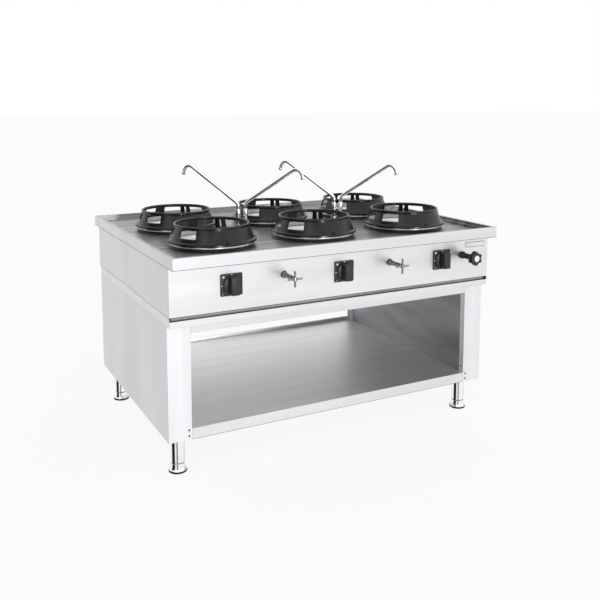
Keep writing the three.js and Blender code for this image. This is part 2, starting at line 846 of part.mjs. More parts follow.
const legRows = { front: frontEdge + legFrontInset, rear: rearEdge - legRearInset };
const legColumns = { left: legSideInset - halfWidth, right: halfWidth - legSideInset };
for (const [row, y] of Object.entries(legRows)) {
  for (const [column, x] of Object.entries(legColumns)) {
    makeLeg(`${row}_${column}`, x, y);
  }
}

for (const place of burnerPlaces()) {
  makeBowl(place);
  makeBurner(place);
  makeRing(place);
}

knobPlaces.forEach((fromLeft, i) => makeKnob(i + 1, fromLeft));
tapPlaces.forEach((fromLeft, i) => makeTap(i + 1, fromLeft));
makeValve();

for (const [name, pair] of Object.entries(spoutPairs)) {
  const x = spoutPlace(pair);
  const y = frontEdge + spoutRow;
  makeSpoutBase(`spout_base_${name}`, x, y);
  makeSpout(`spout_${name}_a`, x - spoutGap / 2, y, pair.turns[0]);
  makeSpout(`spout_${name}_b`, x + spoutGap / 2, y, pair.turns[1]);
}

export default range;
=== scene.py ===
import json
import math
from math import radians

import bmesh
import bpy
from mathutils import Matrix, Vector


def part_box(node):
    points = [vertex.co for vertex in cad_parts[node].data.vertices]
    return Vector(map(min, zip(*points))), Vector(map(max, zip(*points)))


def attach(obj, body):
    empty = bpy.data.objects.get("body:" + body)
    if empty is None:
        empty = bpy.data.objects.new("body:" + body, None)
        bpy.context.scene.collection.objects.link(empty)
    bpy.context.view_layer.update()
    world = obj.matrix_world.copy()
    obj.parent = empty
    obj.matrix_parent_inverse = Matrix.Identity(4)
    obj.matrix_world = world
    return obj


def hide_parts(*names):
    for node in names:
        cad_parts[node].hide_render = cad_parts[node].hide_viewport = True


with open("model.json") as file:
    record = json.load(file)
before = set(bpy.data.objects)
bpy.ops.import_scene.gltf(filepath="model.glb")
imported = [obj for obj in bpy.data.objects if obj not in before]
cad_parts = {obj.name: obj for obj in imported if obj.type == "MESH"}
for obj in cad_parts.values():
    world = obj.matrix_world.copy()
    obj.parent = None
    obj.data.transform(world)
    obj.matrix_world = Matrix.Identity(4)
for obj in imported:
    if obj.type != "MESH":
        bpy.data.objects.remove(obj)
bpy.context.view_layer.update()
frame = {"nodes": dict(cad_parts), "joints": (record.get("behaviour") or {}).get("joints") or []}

# Six-burner wok range: sheet steel, enamelled rings, chrome fittings. Metres, front towards -Y.
up = Vector((0, 0, 1))
front = Vector((0, -1, 0))
print("frame loaded:", len(frame["nodes"]), "nodes")


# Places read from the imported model
def low(node):
    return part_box(node)[0]


def high(node):
    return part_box(node)[1]


def middle(node):
    return (low(node) + high(node)) / 2


rimTop = high("worktop").z
panelFace = low("control_panel").y
panelTurn = Matrix.Rotation(radians(90), 4, "X")  # what is made along +Z looks out of the panel
ringNames = [f"{row}_{column}" for row in ("front", "rear") for column in ("left", "middle", "right")]
cornerNames = [f"{row}_{side}" for row in ("front", "rear") for side in ("left", "right")]


# Camera
cameraSpot = {
    "place": (-1.6137, -3.1827, 1.4447),
    "turn": -27.716,
    "tilt": 6.745,
    "lens": 46.81,
    "lift": -0.1833,
}


def makeCamera(spec):
    data = bpy.data.cameras.new("camera")
    data.lens = spec["lens"]
    data.sensor_width = 36
    data.shift_y = spec["lift"]
    camera = bpy.data.objects.new("camera", data)
    camera.location = spec["place"]
    camera.rotation_euler = (radians(90 - spec["tilt"]), 0, radians(spec["turn"]))
    bpy.context.scene.collection.objects.link(camera)
    bpy.context.scene.camera = camera


makeCamera(cameraSpot)
print("camera set")


# Materials
def paint(hexText):
    channels = [int(hexText[i:i + 2], 16) / 255 for i in (1, 3, 5)]
    linear = [c / 12.92 if c <= 0.04045 else ((c + 0.055) / 1.055) ** 2.4 for c in channels]
    return (*linear, 1)


# One node with its settings. An input that is another node's output is linked, any other is set.
def addNode(tree, kind, settings=None, inputs=None):
    node = tree.nodes.new(kind)
    for name, value in (settings or {}).items():
        setattr(node, name, value)
    for name, value in (inputs or {}).items():
        if isinstance(value, bpy.types.NodeSocket):
            tree.links.new(value, node.inputs[name])
        else:
            node.inputs[name].default_value = value
    return node


# Each finish has up to three patterns on the object's own place, given as the size of their grain
# in mm along X, Y and Z and the noise's detail: "tone" varies the colour between two shades,
# "shine" the roughness, and "relief" the bump, whose depth is in mm.
finishSpecs = {
    # cold-rolled stainless sheet, brushed along its length: fine scratches and broad cloudy bands
    "brushedAlongX": {
        "tone": ((900, 60, 60), 2), "shine": ((60, 0.7, 0.7), 3), "relief": ((60, 0.7, 0.7), 3),
        "shades": ("#DAD9DC", "#E1E0E3"), "roughness": (0.3, 0.42), "depth": 0.02, "metallic": 1,
    },
    # the sides, brushed upright and a little duller
    "sideSatin": {
        "tone": ((60, 240, 900), 2), "shine": ((0.8, 0.8, 60), 3), "relief": ((0.8, 0.8, 60), 3),
        "shades": ("#DCDBDE", "#E4E3E6"), "roughness": (0.42, 0.52), "depth": 0.02, "metallic": 1,
    },
    # the shelf, paler than the same sheet on its front lip, as painted light
    "shelfPaintedLight": {
        "tone": ((900, 60, 60), 2), "shine": ((60, 0.7, 0.7), 3), "relief": ((60, 0.7, 0.7), 3),
        "shades": ("#F0F0F1", "#F6F6F7"), "roughness": (0.36, 0.48), "depth": 0.02, "metallic": 1,
    },
    # the pressed basin, painted darker as its dark reflections, and streaked by heat and cleaning
    "basinPaintedReflection": {
        "tone": ((420, 24, 60), 2), "shine": ((80, 1.1, 1.1), 3), "relief": ((80, 1.1, 1.1), 3),
        "shades": ("#939295", "#C4C3C6"), "roughness": (0.26, 0.4), "depth": 0.03, "metallic": 1,
    },
    # the flat rim round the basin, a little darker than the apron as painted shade
    "rimPaintedShade": {
        "tone": ((900, 60, 60), 2), "shine": ((60, 0.7, 0.7), 3), "relief": ((60, 0.7, 0.7), 3),
        "shades": ("#C6C5C8", "#D0CFD2"), "roughness": (0.3, 0.42), "depth": 0.02, "metallic": 1,
    },
    # painted shade: darker, duller sheet inside the body, on the skirt and on the basin's rear step
    "paintedShadeSteel": {
        "tone": ((300, 80, 80), 2), "shine": ((60, 0.8, 0.8), 3), "relief": ((60, 0.8, 0.8), 3),
        "shades": ("#9F9EA1", "#B2B1B4"), "roughness": (0.4, 0.55), "depth": 0.02, "metallic": 1,
    },
    # the stand's linings, plain mill finish, painted darker as the shade inside the stand
    "millSteelPaintedShade": {
        "tone": ((200, 500, 120), 2), "shine": ((0.8, 60, 0.8), 3), "relief": ((0.8, 60, 0.8), 3),
        "shades": ("#7E7D80", "#979699"), "roughness": (0.34, 0.46), "depth": 0.02, "metallic": 1,
    },
    # spun dish of the bowls and the turned band inside the rings
    "satinBowl": {
        "tone": ((60, 60, 30), 2), "shine": ((3, 3, 0.8), 3), "relief": ((3, 3, 0.8), 3),
        "shades": ("#E9E9EB", "#F4F4F5"), "roughness": (0.4, 0.5), "depth": 0.01, "metallic": 1,
    },
    # chrome plate with faint water marks that only dull it
    "polishedChrome": {
        "tone": ((40, 40, 40), 4), "shine": ((40, 40, 40), 4),
        "shades": ("#ECECEE", "#F4F4F5"), "roughness": (0.03, 0.06), "metallic": 1,
    },
    "wornChrome": {
        "tone": ((14, 14, 14), 4), "shine": ((14, 14, 14), 4),
        "shades": ("#C9C8CA", "#E6E6E8"), "roughness": (0.18, 0.28), "metallic": 1,
    },
    # painted reflection: the taps' chrome is darker than the other chrome, for the dark reflections on it
    "tapChromePaintedReflection": {
        "tone": ((10, 10, 10), 4), "shine": ((10, 10, 10), 4),
        "shades": ("#7C7B7E", "#A8A7AA"), "roughness": (0.06, 0.14), "metallic": 1,
    },
    # glassy enamel over cast iron: slightly wavy, with duller patches
    "castEnamel": {
        "tone": ((30, 30, 30), 3), "shine": ((30, 30, 30), 3), "relief": ((5, 5, 5), 2),
        "shades": ("#0C0B0D", "#161517"), "roughness": (0.17, 0.27), "depth": 0.05,
        "specular": 0.42,
    },
    # sand-cast iron of the burner heads, also the oxidised screw heads
    "bareCasting": {
        "tone": ((1.6, 1.6, 1.6), 3), "shine": ((1.6, 1.6, 1.6), 3), "relief": ((1.6, 1.6, 1.6), 3),
        "shades": ("#1F1E20", "#38373A"), "roughness": (0.6, 0.8), "depth": 0.12, "metallic": 0.5,
    },
    # moulded phenolic plastic of the controls
    "mouldedBlack": {
        "tone": ((0.5, 0.5, 0.5), 3), "shine": ((0.5, 0.5, 0.5), 3), "relief": ((0.5, 0.5, 0.5), 3),
        "shades": ("#1D1C1F", "#262528"), "roughness": (0.38, 0.5), "depth": 0.02,
    },
    # moulded rubber of the soles; the same black on a ring above each foot is painted shade in the groove
    # there
    "footRubberAndShade": {
        "tone": ((0.8, 0.8, 0.8), 3), "shine": ((0.8, 0.8, 0.8), 3), "relief": ((0.8, 0.8, 0.8), 3),
        "shades": ("#19181A", "#232224"), "roughness": (0.7, 0.85), "depth": 0.03,
    },
    # painted shade: dull dark strips along the sheets' lower edges, for the shade there
    "cutEdge": {
        "tone": ((0.6, 0.6, 0.6), 3), "shine": ((0.6, 0.6, 0.6), 3), "relief": ((0.6, 0.6, 0.6), 3),
        "shades": ("#3E3D40", "#4E4D50"), "roughness": (0.6, 0.75), "depth": 0.03,
    },
    # printed marks on the control plates
    "markWhite": {
        "tone": ((0.4, 0.4, 0.4), 3), "shine": ((0.4, 0.4, 0.4), 3), "relief": ((0.4, 0.4, 0.4), 3),
        "shades": ("#E8E8E8", "#F4F4F4"), "roughness": (0.5, 0.6), "depth": 0.01,
    },
    # painted face of the bare plate
    "paintedPlate": {
        "tone": ((0.6, 0.6, 0.6), 3), "shine": ((0.6, 0.6, 0.6), 3), "relief": ((0.6, 0.6, 0.6), 3),
        "shades": ("#F0F0F0", "#FAFAFA"), "roughness": (0.5, 0.6), "depth": 0.01,
    },
}


def makeFinish(name, spec):
    material = bpy.data.materials.new(name)
    material.use_nodes = True
    tree = material.node_tree
    shader = tree.nodes["Principled BSDF"]
    place = addNode(tree, "ShaderNodeTexCoord")
    grains = {}
    for use in ("tone", "shine", "relief"):
        if use in spec:
            sizes, detail = spec[use]
            stretch = addNode(tree, "ShaderNodeMapping", None, {
                "Vector": place.outputs["Object"],
                "Scale": [1000 / size for size in sizes],
            })
            noise = addNode(tree, "ShaderNodeTexNoise", None, {
                "Vector": stretch.outputs["Vector"], "Scale": 1, "Detail": detail,
            })
            grains[use] = noise.outputs["Fac"]
    ramp = addNode(tree, "ShaderNodeValToRGB", None, {"Fac": grains["tone"]})
    for element, position, shade in zip(ramp.color_ramp.elements, (0.35, 0.65), spec["shades"]):
        element.position = position
        element.color = paint(shade)
    dull = addNode(tree, "ShaderNodeMapRange", None, {
        "Value": grains["shine"], "From Min": 0.3, "From Max": 0.7,
        "To Min": spec["roughness"][0], "To Max": spec["roughness"][1],
    })
    tree.links.new(ramp.outputs["Color"], shader.inputs["Base Color"])
    tree.links.new(dull.outputs["Result"], shader.inputs["Roughness"])
    shader.inputs["Metallic"].default_value = spec.get("metallic", 0)
    shader.inputs["Specular IOR Level"].default_value = spec.get("specular", 0.5)
    if "relief" in spec:
        bump = addNode(tree, "ShaderNodeBump", None, {
            "Height": grains["relief"], "Distance": spec["depth"] / 1000,
        })
        tree.links.new(bump.outputs["Normal"], shader.inputs["Normal"])
    return material


finishes = {name: makeFinish(name, spec) for name, spec in finishSpecs.items()}
print("materials made:", len(finishes))


# Mesh helpers
def finishPiece(name, bm, finish, body, replaced=(), smoothAngle=35):
    mesh = bpy.data.meshes.new(name)
    bm.to_mesh(mesh)
    bm.free()
    mesh.shade_smooth()
    mesh.set_sharp_from_angle(angle=radians(smoothAngle))
    mesh.materials.append(finishes[finish])
    piece = bpy.data.objects.new(name, mesh)
    bpy.context.scene.collection.objects.link(piece)
    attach(piece, body)
    if replaced:
        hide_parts(*replaced)
    return piece


# A round piece: its outline of (radius, height) in mm is spun about Z.
def spinOutline(outline, steps, closed=False):
    bm = bmesh.new()
    verts = [bm.verts.new((radius / 1000, 0, height / 1000)) for radius, height in outline]
    edges = [bm.edges.new(pair) for pair in zip(verts, verts[1:])]
    if closed:
        edges.append(bm.edges.new((verts[-1], verts[0])))
    bmesh.ops.spin(
        bm, geom=verts + edges, cent=(0, 0, 0), axis=(0, 0, 1),
        angle=radians(360), steps=steps, use_merge=True,
    )
    bmesh.ops.remove_doubles(bm, verts=bm.verts, dist=1e-6)
    bmesh.ops.recalc_face_normals(bm, faces=bm.faces)
    return bm


# A block between two corners, in mm, with every edge rounded.
def roundedBlock(lowest, highest, edge, segments=3):
    bm = bmesh.new()
    size = Vector(highest) - Vector(lowest)
    centre = (Vector(highest) + Vector(lowest)) / 2
    bmesh.ops.create_cube(bm, size=1)
    bmesh.ops.scale(bm, vec=size / 1000, verts=bm.verts)
    bmesh.ops.translate(bm, vec=centre / 1000, verts=bm.verts)
    bevelEdges(bm, bm.edges[:], edge, segments)
    return bm


def bevelEdges(bm, edges, width, segments=2):
    bmesh.ops.bevel(
        bm, geom=edges, offset=width / 1000, offset_type="OFFSET", segments=segments,
        profile=0.5, affect="EDGES", clamp_overlap=True, material=-1,
    )


def sharpEdges(bm, angle=30):
    return [e for e in bm.edges if len(e.link_faces) == 2 and e.calc_face_angle(0) > radians(angle)]


def addMesh(bm, other):
    scrap = bpy.data.meshes.new("scrap")
    other.to_mesh(scrap)
    other.free()
    bm.from_mesh(scrap)
    bpy.data.meshes.remove(scrap)


def place(bm, matrix):
    bmesh.ops.transform(bm, matrix=matrix, verts=bm.verts)
    return bm


# Folded sheets: the solids' own shapes with bent corners instead of knife edges
sheetPieces = {
    "worktop": {
        "finish": "basinPaintedReflection", "slot": "worktop_steel", "bend": 1.2,
        "front": "brushedAlongX", "side": "sideSatin", "rim": "rimPaintedShade", "step": "paintedShadeSteel",
    },
    "control_panel": {"finish": "brushedAlongX", "slot": "brushed_steel", "bend": 1.9},
    "upper_left_side": {"finish": "sideSatin", "slot": "brushed_steel", "bend": 0.9},
    "upper_right_side": {"finish": "sideSatin", "slot": "brushed_steel", "bend": 0.9},
    "upper_rear_panel": {"finish": "brushedAlongX", "slot": "brushed_steel", "bend": 0.7},
    "base_pan": {"finish": "paintedShadeSteel", "slot": "inner_steel", "bend": 0.9},
    "gas_manifold": {"finish": "paintedShadeSteel", "slot": "inner_steel", "bend": 0.6},
    "stand_top_tray": {"finish": "brushedAlongX", "slot": "brushed_steel", "bend": 1.9},
    "stand_left_side": {"finish": "sideSatin", "slot": "brushed_steel", "bend": 0.9},
    "stand_right_side": {"finish": "sideSatin", "slot": "brushed_steel", "bend": 0.9},
    "left_lining": {"finish": "millSteelPaintedShade", "slot": "brushed_steel", "bend": 0.9},
    "right_lining": {"finish": "millSteelPaintedShade", "slot": "brushed_steel", "bend": 0.9},
    "stand_front_rail": {"finish": "brushedAlongX", "slot": "brushed_steel", "bend": 1.9},
    "stand_rear_rail": {"finish": "brushedAlongX", "slot": "brushed_steel", "bend": 0.9},
    "shelf": {"finish": "shelfPaintedLight", "lip": "brushedAlongX", "slot": "brushed_steel", "bend": 1.9},
}


# The worktop's apron and sides keep the pale mill brushing; its flat rim is painted a little darker and its
# rear step darker still as painted shade, and the pressed basin is painted dark as its reflection.
def finishWorktop(mesh, spec):
    for name in ("front", "side", "rim", "step"):
        mesh.materials.append(finishes[spec[name]])
    lowest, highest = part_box("worktop")
    for face in mesh.polygons:
        spot = face.center
        if abs(face.normal.y) > 0.9 and min(spot.y - lowest.y, highest.y - spot.y) < 0.003:
            face.material_index = 1
        elif abs(face.normal.x) > 0.9 and min(spot.x - lowest.x, highest.x - spot.x) < 0.003:
            face.material_index = 2
        elif spot.z > highest.z - 0.0005:
            face.material_index = 3
        # painted shade: the basin's rear step, which faces the front
        elif face.normal.y < -0.15 and spot.y > 0:
            face.material_index = 4


def makeSheet(node, spec):
    bm = bmesh.new()
    bm.from_mesh(frame["nodes"][node].data)
    bmesh.ops.remove_doubles(bm, verts=bm.verts, dist=1e-5)
    bmesh.ops.dissolve_limit(bm, angle_limit=radians(1), verts=bm.verts, edges=bm.edges)
    mesh = bpy.data.meshes.new(node + "_sheet")
    bm.to_mesh(mesh)
    bm.free()
    mesh.shade_smooth()
    mesh.materials.append(finishes[spec["finish"]])
    if "rim" in spec:
        finishWorktop(mesh, spec)
    if "lip" in spec:
        # the shelf's faces looking front or back keep the sheet's brushing, the rest takes the paler painted
        # light
        mesh.materials.append(finishes[spec["lip"]])
        for face in mesh.polygons:
            if abs(face.normal.y) > 0.9:
                face.material_index = 1
    piece = bpy.data.objects.new(node + "_sheet", mesh)
    bpy.context.scene.collection.objects.link(piece)
    bend = piece.modifiers.new("bend", "BEVEL")
    bend.width = spec["bend"] / 1000
    bend.segments = 2
    bend.limit_method = "ANGLE"
    bend.angle_limit = radians(28)
    flatten = piece.modifiers.new("flatten", "WEIGHTED_NORMAL")  # flat faces shade flat up to the bend
    flatten.weight = 100
    flatten.keep_sharp = False
    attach(piece, "carcass")
    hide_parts(node)


for sheetNode, sheetSpec in sheetPieces.items():
    makeSheet(sheetNode, sheetSpec)
print("sheets folded")

# Painted shadow: dark strips where the recessed skirt meets the panel and the tray stand for the shadow gaps,
# and painted shade: thin dark lines along the apron's lower edges and below the shelf's front edge.
edgeSpec = {"joint": 2.6, "cut": 1.5, "proud": 0.2, "inset": 1}


def edgeStrip(bm, lowest, highest):
    addMesh(bm, roundedBlock(lowest, highest, 0.1, 1))


skirtFace = low("base_pan").y * 1000
skirtHalf = high("base_pan").x * 1000 - edgeSpec["inset"]
# painted shadow: black strips at the foot of the skirt and under the panel's lower edge, for the shadow gaps
shadowGapLines = bmesh.new()
for z1 in (low("base_pan").z * 1000, low("control_panel").z * 1000 - edgeSpec["joint"]):
    edgeStrip(
        shadowGapLines, (-skirtHalf, skirtFace - 2 * edgeSpec["proud"], z1),
        (skirtHalf, skirtFace + 0.4, z1 + edgeSpec["joint"]),
    )
cutEdges = bmesh.new()
lowest, highest = (corner * 1000 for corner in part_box("worktop"))
apronFace = [
    v.co for v in frame["nodes"]["worktop"].data.vertices if v.co.y * 1000 < lowest.y + 0.5
]
apronBottom = min(spot.z for spot in apronFace) * 1000
proud, cut = edgeSpec["proud"], edgeSpec["cut"]
for y in (lowest.y, highest.y):
    edgeStrip(
        cutEdges, (lowest.x + 0.6, y - proud, apronBottom - 0.2),
        (highest.x - 0.6, y + proud, apronBottom + cut),
    )
for x in (lowest.x, highest.x):
    edgeStrip(
        cutEdges, (x - proud, lowest.y + 0.6, apronBottom - 0.2),
        (x + proud, highest.y - 0.6, apronBottom + cut),
    )
shelfLow, shelfHigh = (corner * 1000 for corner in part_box("shelf"))
edgeStrip(
    cutEdges, (shelfLow.x + 0.3, shelfLow.y - proud, shelfLow.z),
    (shelfHigh.x - 0.3, shelfLow.y + proud, shelfLow.z + cut),
)
finishPiece("sheet_cut_edges", cutEdges, "cutEdge", "carcass")
finishPiece("skirt_shadow_gaps", shadowGapLines, "mouldedBlack", "carcass")

# Wok rings
ringSpec = {
    "outline": [
        (162.5, 0.4), (181.4, 0.4), (183, 1.8), (183, 6.6), (182.2, 8.6), (179.6, 10), (174.4, 10.4),
        (172.4, 11.4), (171.2, 13.6), (170, 17), (166.6, 27), (154.6, 59), (153.8, 62), (154.6, 65),
        (154.4, 69), (152.8, 72), (150.5, 73), (147.5, 72.8), (145.5, 71), (144, 67), (146.8, 59),
        (160, 27), (163.4, 17), (162.4, 5),
    ],
    "firstWindow": 122.5,
    "windows": 5,
    "arcs": ((28, 10), (7.2, 2), (2.6, 1), (7.2, 2)),
    "windowHeights": (27, 59),
    "slitAngle": 145,
    "insideReach": 164,
    "groundBand": 17,
    "windowEdge": 1.3,
}


def angleFromFront(point):
    return math.degrees(math.atan2(point.x, -point.y)) % 360


# The wall is spun in arcs that end at the windows' sides, so each window is a patch of faces.
def ringMesh(spec):
    bm = bmesh.new()
    start = radians(spec["firstWindow"] - spec["arcs"][0][0] / 2 - 90)
    verts = []
    for radius, height in spec["outline"]:
        point = Vector((radius * math.cos(start), radius * math.sin(start), height)) / 1000
        verts.append(bm.verts.new(point))
    edges = [bm.edges.new(pair) for pair in zip(verts, verts[1:] + verts[:1])]
    turned = verts + edges
    for i in range(8):
        for arc, steps in spec["arcs"]:
            made = bmesh.ops.spin(
                bm, geom=turned, cent=(0, 0, 0), axis=(0, 0, 1), angle=radians(arc), steps=steps,
            )
            turned = made["geom_last"]
    bmesh.ops.remove_doubles(bm, verts=bm.verts, dist=1e-5)
    bmesh.ops.recalc_face_normals(bm, faces=bm.faces)
    openings = []
    for i in range(spec["windows"]):
        openings.append((spec["firstWindow"] + 45 * i, spec["arcs"][0][0] / 2))
    openings.append((spec["slitAngle"], spec["arcs"][2][0] / 2))
    bottom, top = (height / 1000 for height in spec["windowHeights"])
    for centre, half in openings:
        patch = []
        for face in bm.faces:
            spot = face.calc_center_median()
            if abs(angleFromFront(spot) - centre) < half and bottom < spot.z < top:
                patch.append(face)
        bmesh.ops.delete(bm, geom=patch, context="FACES")
        rims = [e for e in bm.edges if e.is_boundary]
        sides = bmesh.ops.bridge_loops(bm, edges=rims)
        corners = [e for f in sides["faces"] for e in f.edges if e.calc_face_angle(0) > radians(40)]
        bevelEdges(bm, list(set(corners)), spec["windowEdge"], 2)
    lug = roundedBlock((-5, -179.6, 8), (5, -165, 17.4), 1.5)
    addMesh(bm, lug)
    return bm


for ringName in ringNames:
    ring = ringMesh(ringSpec)
    spot = middle("ring_" + ringName)
    seat = low("ring_" + ringName).z
    place(ring, Matrix.Translation((spot.x, spot.y, seat)))
    piece = finishPiece(
        f"ring_{ringName}_enamel", ring, "castEnamel", "ring_" + ringName,
        ["ring_" + ringName], 40,
    )
    piece.data.materials.append(finishes["satinBowl"])
    for face in piece.data.polygons:
        reach = (face.center.xy - spot.xy).length * 1000
        if reach < ringSpec["insideReach"] and face.center.z - seat < ringSpec["groundBand"] / 1000:
            face.material_index = 1  # the turned band that seats on the bowl is bare
print("rings cast")

# Burner bowls: a dish with a rolled bright rim over a foot painted black as the shade under the rim
bowlSpec = {
    "outline": [
        (24, -88), (136, -88), (140, -86), (151.5, -12.5), (153, -10.4), (156, -9.4), (169.6, -8.6),
        (170, -9.6), (170, -18.7), (173.6, -18.7), (174.4, -17.5), (175, -9), (176.6, -7.6),
        (178.2, -5.6), (178.6, -3.4), (177.8, -1.2), (175.6, -0.3), (167, -0.3), (163, -2),
        (154, -6.6), (150, -8.6), (148.4, -12), (138, -82), (135, -86), (24, -86),
    ],
    "steps": 96,
    "inside": 165,
    "footTop": -8.3,
}


# The dish inside is satin, the rolled rim is bright, and the foot below the rim is painted black as the shade
# under the rim.
def finishBowl(piece, centre, floor, spec):
    mesh = piece.data
    mesh.materials.append(finishes["satinBowl"])
    mesh.materials.append(finishes["castEnamel"])
    for face in mesh.polygons:
        reach = (face.center.xy - centre.xy).length * 1000
        height = (face.center.z - floor) * 1000
        if reach < spec["inside"]:
            face.material_index = 1
        elif height < spec["footTop"]:
            face.material_index = 2


for ringName in ringNames:
    bowl = spinOutline(bowlSpec["outline"], bowlSpec["steps"], closed=True)
    spot = middle("burner_bowl_" + ringName)
    seat = low("ring_" + ringName).z
    place(bowl, Matrix.Translation((spot.x, spot.y, seat)))
    piece = finishPiece(
        f"bowl_{ringName}", bowl, "wornChrome", "carcass",
        ["burner_bowl_" + ringName], 40,
    )
    finishBowl(piece, spot, seat, bowlSpec)
print("bowls spun")

# Burner heads: a stepped crown with slots all round and a pilot cup
burnerSpec = {
    "outline": [
        (0, -115), (20, -115), (20, -86), (40, -85.7), (46, -65), (58, -64), (62, -60), (62, -50),
        (60, -47), (52, -45.7), (34, -45.7), (30, -49), (18, -51), (15, -56), (0, -56),
    ],
    "steps": 60,
    "slotDepth": 0.005,
    "rimDrop": 0.0465,
    "rimInside": 0.036,
}
for ringName in ringNames:
    burner = spinOutline(burnerSpec["outline"], burnerSpec["steps"])
    rimFaces = []
    for face in burner.faces:
        spot = face.calc_center_median()
        inRim = spot.z > -burnerSpec["rimDrop"] and spot.xy.length > burnerSpec["rimInside"]
        if inRim and face.normal.z > 0.9:
            rimFaces.append(face)
    rimFaces.sort(key=lambda f: angleFromFront(f.calc_center_median()))
    slots = rimFaces[::2]
    bmesh.ops.inset_individual(burner, faces=slots, thickness=0.0006, depth=0)
    slotVerts = list({vert for face in slots for vert in face.verts})
    bmesh.ops.translate(burner, vec=(0, 0, -burnerSpec["slotDepth"]), verts=slotVerts)
    spot = middle("burner_" + ringName)
    place(burner, Matrix.Translation((spot.x, spot.y, low("ring_" + ringName).z)))
    finishPiece(
        f"burner_head_{ringName}", burner, "bareCasting", "carcass",
        ["burner_" + ringName], 30,
    )
print("burners made")

# Legs and feet
legSpec = {
    "tube": [
        (0, 110.7), (27.5, 110.7), (28.5, 109.7), (28.5, 1), (27.5, 0), (8.3, 0), (8.3, 16),
        (26, 16), (26, 108), (0, 108),
    ],
    "foot": [
        (0, 8), (34.9, 8), (35, 8.8), (34, 10), (31.2, 12.4), (29.2, 15.6), (28, 20), (27.5, 25),
        (27.5, 35.2), (27, 35.8), (8, 36), (8, 96), (7, 98.4), (0, 98.4),
    ],
    "rubber": [(0, 0), (35, 0), (36, 0.8), (36, 7), (35.4, 8), (0, 8)],
    # painted shade: a black ring in the groove between the foot's chrome and the leg
    "grooveShade": [(8.1, 36), (27, 36), (27.4, 36.5), (27.4, 38.2), (27, 38.6), (8.1, 38.6)],
    "steps": 64,
}
for corner in cornerNames:
    spot = middle("leg_" + corner)
    leg = spinOutline(legSpec["tube"], legSpec["steps"])
    place(leg, Matrix.Translation((spot.x, spot.y, low("leg_" + corner).z)))
    finishPiece(f"leg_tube_{corner}", leg, "polishedChrome", "carcass", ["leg_" + corner])
    foot = spinOutline(legSpec["foot"], legSpec["steps"])
    place(foot, Matrix.Translation((spot.x, spot.y, 0)))
    finishPiece(
        f"foot_{corner}_chrome", foot, "polishedChrome", "foot_" + corner,
        ["foot_" + corner],
    )
    soleAndShade = spinOutline(legSpec["rubber"], legSpec["steps"])
    addMesh(soleAndShade, spinOutline(legSpec["grooveShade"], legSpec["steps"], closed=True))
    place(soleAndShade, Matrix.Translation((spot.x, spot.y, 0)))
    finishPiece(f"foot_sole_and_shade_{corner}", soleAndShade, "footRubberAndShade", "foot_" + corner)
print("legs and feet made")

# Rotary controls
knobSpec = {
    "plate": (90, 86),
    "plateThick": 4,
    "plateCorner": 5,
    "disc": [
        (0, -14), (5, -14), (5, 4.3), (35.2, 4.3), (36, 5.2), (36, 8), (35.2, 9.6), (33, 11),
        (0, 11.3),
    ],
    "grip": ((-17, -34, 10), (17, 34, 46.3)),
    "gripEdge": 2.2,
    "gripTaper": 0.93,
    "marks": ((0, 39, 2.6), (-33, 31, 4.4), (-39, -2, 2.4), (-36, -35, 1.6)),
}


def onPanel(node):
    spot = middle(node)
    return Matrix.Translation((spot.x, panelFace, spot.z)) @ panelTurn


for i in (1, 2, 3):
    plateNode = f"knob_plate_{i}"
    width, height = knobSpec["plate"]
    plate = bmesh.new()
    bmesh.ops.create_cube(plate, size=1)
    thick = knobSpec["plateThick"] - 0.3
    bmesh.ops.scale(plate, vec=(width / 1000, height / 1000, thick / 1000), verts=plate.verts)
    bmesh.ops.translate(plate, vec=(0, 0, (0.3 + thick / 2) / 1000), verts=plate.verts)
    uprightEdges = [e for e in plate.edges if abs((e.verts[0].co - e.verts[1].co).z) > 0.001]
    bevelEdges(plate, uprightEdges, knobSpec["plateCorner"], 5)
    lid = [e for e in sharpEdges(plate) if min(v.co.z for v in e.verts) > 0.003]
    bevelEdges(plate, lid, 1.0, 2)
    place(plate, onPanel(plateNode))
    finishPiece(f"control_plate_{i}", plate, "mouldedBlack", "carcass", [plateNode])

    knob = spinOutline(knobSpec["disc"], 64)
    grip = roundedBlock(*knobSpec["grip"], knobSpec["gripEdge"])
    for vert in grip.verts:
        if vert.co.z > 0.022:
            vert.co.x *= knobSpec["gripTaper"]
    addMesh(knob, grip)
    place(knob, onPanel(plateNode))
    finishPiece(f"knob_{i}_grip", knob, "mouldedBlack", f"knob_{i}", [f"knob_{i}"])

    marks = bmesh.new()
    for x, y, radius in knobSpec["marks"]:
        bmesh.ops.create_circle(marks, cap_ends=True, segments=24, radius=radius / 1000,
                                matrix=Matrix.Translation((x / 1000, y / 1000, 0.00405)))
    place(marks, onPanel(plateNode))
    finishPiece(f"control_marks_{i}", marks, "markWhite", "carcass")
print("rotary controls made")

